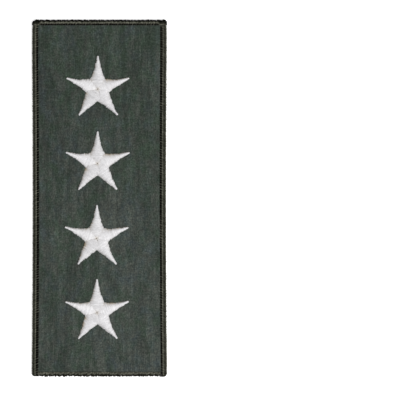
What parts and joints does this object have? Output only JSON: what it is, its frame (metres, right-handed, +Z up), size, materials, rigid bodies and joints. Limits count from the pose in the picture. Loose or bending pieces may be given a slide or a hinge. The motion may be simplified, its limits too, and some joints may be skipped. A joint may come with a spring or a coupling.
{
  "type": "embroidered rank patch",
  "caption": "Flat oblong shoulder patch of ribbed cloth with a column of raised satin-stitched stars and an overlocked thread edge, sewn flat onto a garment.",
  "frame": {"origin": "middle of the patch's flat back, on the surface that it lies on", "axes": "+X across the patch to the viewer's right, +Y along it to its top end, +Z up out of the embroidered face"},
  "size_m": [0.051, 0.135, 0.0021],
  "materials": {
    "cloth": "dark grey-green ribbed cloth with fine lengthwise slubs",
    "edge_thread": "dark olive overlock thread, slightly glossy",
    "star_thread": "white satin-stitched embroidery thread"
  },
  "bodies": {
    "root": {"base_cloth": "cloth", "edge_top": "edge_thread", "edge_bottom": "edge_thread", "edge_left": "edge_thread", "edge_right": "edge_thread", "star_1": "star_thread", "star_2": "star_thread", "star_3": "star_thread", "star_4": "star_thread"}
  },
  "joints": []
}
